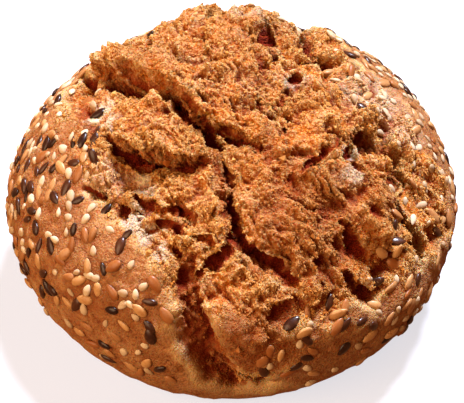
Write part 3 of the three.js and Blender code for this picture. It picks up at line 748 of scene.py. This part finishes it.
# Crumbs. Every torn face is covered with grains of crumb that broke loose and toasted where they hang, most
# of them along the rims, where the plates pulled apart. Each takes the painted shade of the crust under it.
CRUMB_COUNT, CRUMB_SIZE, CRUMB_VARIETY, CRUMB_LIFT = 15000, 0.21, 0.4, 0.35
FRAYED_REGIONS = 7.0
crust.data.calc_loop_triangles()
corners = np.empty(3 * len(crust.data.loop_triangles), dtype=np.int32)
crust.data.loop_triangles.foreach_get("vertices", corners)
corners = corners.reshape(-1, 3)
tops = points_of(crust) / MM
spans = np.cross(tops[corners[:, 1]] - tops[corners[:, 0]], tops[corners[:, 2]] - tops[corners[:, 0]])
face_area = np.linalg.norm(spans, axis=1) / 2
face_out = unit(spans)
face_torn = np.clip(torn + 0.8 * shaded_split_bottom + 0.5 * worn, 0, 1)[corners].mean(axis=1)
face_proud = np.clip(0.55 - 1.2 * near_hollow[corners].mean(axis=1), 0.15, 1.4)
frayed = 0.25 + 0.75 * smooth(crumble(tops, FRAYED_REGIONS, 17), -0.2, 0.3)
chance = face_area * smooth(face_torn, 0.2, 1.0) * face_proud * frayed[corners].mean(axis=1)
rng = np.random.default_rng(5)
picked = rng.choice(len(chance), size=CRUMB_COUNT, p=chance / chance.sum())
mix = rng.dirichlet((1, 1, 1), size=CRUMB_COUNT)
crumb_middle = np.einsum("ij,ijk->ik", mix, tops[corners[picked]])
crumb_size = CRUMB_SIZE * np.exp(CRUMB_VARIETY * rng.standard_normal(CRUMB_COUNT))
crumb_middle += face_out[picked] * (CRUMB_LIFT * crumb_size)[:, None]

grain_points = np.array([(1, 0, 0), (-1, 0, 0), (0, 1, 0), (0, -1, 0), (0, 0, 1), (0, 0, -1)], dtype=float)
grain_faces = np.array([(0, 2, 4), (2, 1, 4), (1, 3, 4), (3, 0, 4),
                        (2, 0, 5), (1, 2, 5), (3, 1, 5), (0, 3, 5)])


def random_turns(count):
    """Rotation matrices, evenly spread over all turns."""
    a, b, c, d = unit(rng.standard_normal((count, 4))).T
    return np.stack([
        np.stack([1 - 2 * (c * c + d * d), 2 * (b * c - a * d), 2 * (b * d + a * c)], axis=-1),
        np.stack([2 * (b * c + a * d), 1 - 2 * (b * b + d * d), 2 * (c * d - a * b)], axis=-1),
        np.stack([2 * (b * d - a * c), 2 * (c * d + a * b), 1 - 2 * (b * b + c * c)], axis=-1),
    ], axis=1)


def joined_copies(name, template, faces, placed, each):
    """One piece out of many placed copies of a template, with values that each copy holds all over."""
    count, corner_count = placed.shape[0], template.shape[0]
    all_faces = faces[None] + corner_count * np.arange(count)[:, None, None]
    all_faces = all_faces.reshape(-1, faces.shape[1])
    mesh = bpy.data.meshes.new(name)
    mesh.from_pydata((placed.reshape(-1, 3) * MM).tolist(), [], all_faces.tolist())
    piece = bpy.data.objects.new(name, mesh)
    bpy.context.scene.collection.objects.link(piece)
    for key, values in each.items():
        put_values(piece, key, np.repeat(values, corner_count))
    return piece


UNDER_BITS = ("wide_hollow", "shaded_split_bottom", "flour", "toasted")


def bit_values(count, picked):
    """The tone of each loose bit, and what the crust under it is like."""
    tone = rng.random(count)
    return {"tone": tone, **{name: crust_values[name][corners[picked]].mean(axis=1) for name in UNDER_BITS}}


shapes = grain_points[None] * rng.uniform(0.55, 1.35, size=(CRUMB_COUNT, 6, 1))
shapes = np.einsum("nij,nkj->nki", random_turns(CRUMB_COUNT), shapes) * crumb_size[:, None, None]
crumbs = joined_copies("toasted_crumbs", grain_points, grain_faces, shapes + crumb_middle[:, None],
                       bit_values(CRUMB_COUNT, picked))


def crumb_finish(name, dull, bright):
    """Toasted crumb, matt, each bit of its own tone, with painted shade in the hollows and splits, and
    floured.
    """
    finish, tree = new_finish(name)
    values = {name: add(tree, "Attribute", attribute_name=name).outputs["Fac"]
              for name in ("tone", *UNDER_BITS)}
    surface = blend(tree, values["tone"], dull, bright)
    surface = blend(tree, ramp(tree, values["toasted"], 0, 1, 0, 0.65), surface, TOASTED)
    # Painted shade: bits in split bottoms and in wide hollows are painted darker.
    surface = blend(tree, ramp(tree, values["shaded_split_bottom"], 0.1, 0.6, 0, 0.6), surface, SPLIT_SHADE)
    surface = blend(tree, ramp(tree, values["wide_hollow"], 0.1, 1.8, 0, 0.95), surface, DEEP_SHADE)
    surface = blend(tree, ramp(tree, values["shaded_split_bottom"], 0.62, 1.0, 0, 0.4), surface, DARKEST_SPLIT_SHADE)
    surface = blend(tree, ramp(tree, values["flour"], 0.2, 0.9, 0, 0.85), surface, FLOUR)
    surface = blend(tree, ramp(tree, mottle(tree, 0.4, 1), 0.4, 0.6, 0, 0.3), surface, "#7A3406")
    shader = add(tree, "BsdfPrincipled", {"Base Color": surface}, Roughness=0.9)
    shader.inputs["Specular IOR Level"].default_value = 0.15
    add(tree, "OutputMaterial", {"Surface": shader.outputs[0]})
    return finish


crumbs.data.materials.append(crumb_finish("toasted_crumbs", "#A4621A", "#C89854"))
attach(crumbs, "root")
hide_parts("seeded_roll")

# Torn shreds. Along the rims and on the high spots the crumb is frayed into shreds thinner than the crumbs.
# They lie the way the crumb was pulled, with their tips lifted off it, and are the palest bits of all.
SHRED_COUNT, SHRED_LENGTH, SHRED_VARIETY, SHRED_THICKNESS = 24000, 0.6, 0.35, 0.13
PULL_WANDER, PULL_REGIONS = 1.5, 12.0
TIP_LIFT, TIP_DISORDER = 0.6, 0.4
shred_points = np.array([(0.0, 0.0, 1.0), (1.0, 0.0, -0.3), (-0.6, 0.8, -0.2), (-0.5, -0.9, -0.25)])
shred_faces = np.array([(0, 1, 2), (0, 2, 3), (0, 3, 1), (1, 3, 2)])
rim_chance = chance * face_proud ** 2
picked = rng.choice(len(chance), size=SHRED_COUNT, p=rim_chance / rim_chance.sum())
mix = rng.dirichlet((1, 1, 1), size=SHRED_COUNT)
shred_foot = np.einsum("ij,ijk->ik", mix, tops[corners[picked]])
shred_length = SHRED_LENGTH * np.exp(SHRED_VARIETY * rng.standard_normal(SHRED_COUNT))
pull = np.cross(face_out[picked], FIBRE_RUN)
pull_turn = PULL_WANDER * crumble(shred_foot, PULL_REGIONS, 18)
pull = unit(np.cross(pull, face_out[picked]) + pull_turn[:, None] * pull)
shred_up = unit(pull + TIP_LIFT * face_out[picked] + TIP_DISORDER * rng.standard_normal((SHRED_COUNT, 3)))
shred_side = unit(np.cross(shred_up, rng.standard_normal((SHRED_COUNT, 3))))
shred_frame = np.stack([shred_side, np.cross(shred_up, shred_side), shred_up], axis=2)
shred_sizes = np.stack([SHRED_THICKNESS * rng.uniform(0.7, 2.2, SHRED_COUNT),
                        SHRED_THICKNESS * rng.uniform(0.7, 1.4, SHRED_COUNT), 0.7 * shred_length], axis=1)
shaped = np.einsum("nij,nkj->nki", shred_frame, shred_points[None] * shred_sizes[:, None])
shreds = joined_copies("torn_shreds", shred_points, shred_faces, shaped + shred_foot[:, None],
                       bit_values(SHRED_COUNT, picked))
shreds.data.materials.append(crumb_finish("torn_shreds", "#B0702A", "#D4AC6C"))
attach(shreds, "root")
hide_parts("seeded_roll")

# The seeds themselves. Each lies flat where it was pressed into the skin, rounder at one end than at the
# other, the hulled sesame dull and pale, the linseed smooth and shiny.
LEAST_WIDTH, LEAST_THICKNESS, SEED_PLUMPNESS = 0.85, 0.9, 0.3  # as shares of the kind's own
OUTWARD_LEAN = 0.5  # how much a seed follows the ball rather than the crag it lies on
ball_tree = BVHTree.FromPolygons([Vector(p) for p in tops], corners.tolist())


def lie_on_crust(places, turns):
    """For each place, the frame of a seed that lies flat on the crust there, and where it touches."""
    normals, touches = [], []
    for place in places:
        way = Vector(unit(place - WAIST))
        touch, normal, _, _ = ball_tree.ray_cast(Vector(WAIST) + way * WIDTH, -way)
        normals.append(normal)
        touches.append(touch)
    out = unit(np.array(normals) + OUTWARD_LEAN * unit(places - WAIST))
    along, across = lying(out, turns)
    return np.stack([along, across, out], axis=2), np.array(touches)


def seed_shape(blunt):
    """One seed lying along X, a unit long, wide and thick, rounder at one end than at the other."""
    bpy.ops.object.select_all(action="DESELECT")
    bpy.ops.mesh.primitive_uv_sphere_add(segments=10, ring_count=7, radius=0.5)
    model = bpy.context.object
    bpy.ops.object.mode_set(mode="EDIT")
    bpy.ops.mesh.select_all(action="SELECT")
    bpy.ops.mesh.quads_convert_to_tris()
    bpy.ops.object.mode_set(mode="OBJECT")
    points = points_of(model)[:, [2, 0, 1]]
    taper = 1 - blunt * 2 * points[:, 0] - 0.1 * (2 * points[:, 0]) ** 2
    points[:, 1:] *= taper[:, None]
    model_corners = np.empty(3 * len(model.data.polygons), dtype=np.int32)
    model.data.polygons.foreach_get("vertices", model_corners)
    bpy.data.objects.remove(model)
    return points, model_corners.reshape(-1, 3)


def sow(kind, blunt):
    """Every seed of a kind as one piece."""
    mine = np.flatnonzero(kept & (seed_kind == list(SEED_SHARES).index(kind)))
    template, faces = seed_shape(blunt)
    frames, touches = lie_on_crust(seed_place[mine], seed_turn[mine])
    plump = np.stack([np.ones(len(mine)), LEAST_WIDTH + SEED_PLUMPNESS * draw(index[mine], 8, 0),
                      LEAST_THICKNESS + SEED_PLUMPNESS * draw(index[mine], 9, 0)], axis=1)
    size = seed_size[mine] * plump
    shaped = np.einsum("nij,nkj->nki", frames, template[None] * size[:, None])
    lifted = touches + frames[:, :, 2] * (size[:, 2] * (0.5 - SEED_SINK))[:, None]
    tone = draw(index[mine], 7, 0)
    piece = joined_copies(kind, template, faces, shaped + lifted[:, None], {"tone": tone})
    piece.data.shade_smooth()
    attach(piece, "root")
    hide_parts("seeded_roll")
    return piece


def seed_finish(name, dark, light, patch, patch_share, roughness, gloss):
    """A hulled or whole seed coat: satin to glossy, each seed of its own tone, with worn patches."""
    finish, tree = new_finish(name)
    tone = add(tree, "Attribute", attribute_name="tone").outputs["Fac"]
    surface = blend(tree, tone, dark, light)
    surface = blend(tree, ramp(tree, mottle(tree, 1.3, 2), 0.5, 0.7, 0, patch_share), surface, patch)
    bump = add(tree, "Bump", {"Height": mottle(tree, 0.5, 2)}, Strength=0.25, Distance=0.1 * MM)
    shader = add(tree, "BsdfPrincipled", {"Base Color": surface, "Normal": bump.outputs[0]},
                 Roughness=roughness)
    shader.inputs["Specular IOR Level"].default_value = gloss
    shader.inputs["Subsurface Weight"].default_value = 0.1
    shader.inputs["Subsurface Radius"].default_value = (1.0, 0.7, 0.4)
    shader.inputs["Subsurface Scale"].default_value = 0.5 * MM
    add(tree, "OutputMaterial", {"Surface": shader.outputs[0]})
    return finish


SESAME_BLUNT, LINSEED_BLUNT = 0.3, 0.22
sesame = sow("hulled_sesame", SESAME_BLUNT)
sesame.data.materials.append(seed_finish(
    "hulled_sesame_coat", "#A68A68", "#CCB898", "#9C744C", patch_share=0.5, roughness=0.6, gloss=0.2))
golden = sow("golden_linseed", LINSEED_BLUNT)
golden.data.materials.append(seed_finish(
    "golden_linseed_coat", "#8A4E20", "#BC905C", "#84420E", patch_share=0.5, roughness=0.4, gloss=0.35))
brown = sow("brown_linseed", LINSEED_BLUNT)
brown.data.materials.append(seed_finish(
    "brown_linseed_coat", "#200A05", "#42200F", "#583420", patch_share=0.4, roughness=0.3, gloss=0.35))

# The studio. A plain pale floor, a soft light from above and behind on the right, a wide warm fill from the
# front left, and a camera at the photograph's angle, far enough off that the roll shows little perspective.
FLOOR_WIDTH, FLOOR_GLOW = 6000.0, 0.72  # the glow makes the floor as white as paper
bpy.ops.object.select_all(action="DESELECT")
bpy.ops.mesh.primitive_plane_add(size=FLOOR_WIDTH * MM)
floor = bpy.context.object
floor.name = "floor"
floor_finish, tree = new_finish("matt_white_floor")
grain_value = ramp(tree, mottle(tree, 40, 2), 0.3, 0.7)
surface = blend(tree, grain_value, "#8C8C8E", "#8F8F91")
shader = add(tree, "BsdfPrincipled", {"Base Color": surface}, Roughness=0.9)
shader.inputs["Emission Color"].default_value = colour("#F6F8FF")
shader.inputs["Emission Strength"].default_value = FLOOR_GLOW
add(tree, "OutputMaterial", {"Surface": shader.outputs[0]})
floor.data.materials.append(floor_finish)
floor.visible_diffuse = floor.visible_glossy = floor.visible_shadow = False


def soft_light(name, place, strength, spread_degrees, tint):
    """A light so far off that it lights the whole floor alike, as wide as the angle it is seen under."""
    bpy.ops.object.light_add(type="SUN", location=place)
    light = bpy.context.object
    light.name = name
    light.data.energy = strength
    light.data.angle = math.radians(spread_degrees)
    light.data.color = tint
    light.rotation_euler = (-Vector(place)).to_track_quat("-Z", "Y").to_euler()
    return light


soft_light("key_light", (0.24, 0.42, 1.0), 9.3, 12, (0.93, 1.0, 1.2))
soft_light("front_fill", (-1.0, -0.7, 0.65), 4.0, 60, (1.0, 0.68, 0.4))

world = bpy.data.worlds.new("studio")
bpy.context.scene.world = world
world.use_nodes = True
world.node_tree.nodes["Background"].inputs["Color"].default_value = (1, 0.4, 0.16, 1)
world.node_tree.nodes["Background"].inputs["Strength"].default_value = 0.36
bpy.context.scene.view_settings.view_transform = "Standard"

CAMERA_DISTANCE = 522.0
AIM_DROP = 1.0  # the roll stands this much above the middle of the picture
aim = WAIST - AIM_DROP * SIGHT_UP
camera_data = bpy.data.cameras.new("camera")
camera_data.lens = 180
camera_data.sensor_width = 36
camera_data.clip_start = 10 * MM
camera = bpy.data.objects.new("camera", camera_data)
bpy.context.scene.collection.objects.link(camera)
camera.location = Vector((aim + CAMERA_DISTANCE * TOWARDS_EYE) * MM)
camera.rotation_euler = (Vector(aim * MM) - camera.location).to_track_quat("-Z", "Y").to_euler()
bpy.context.scene.camera = camera
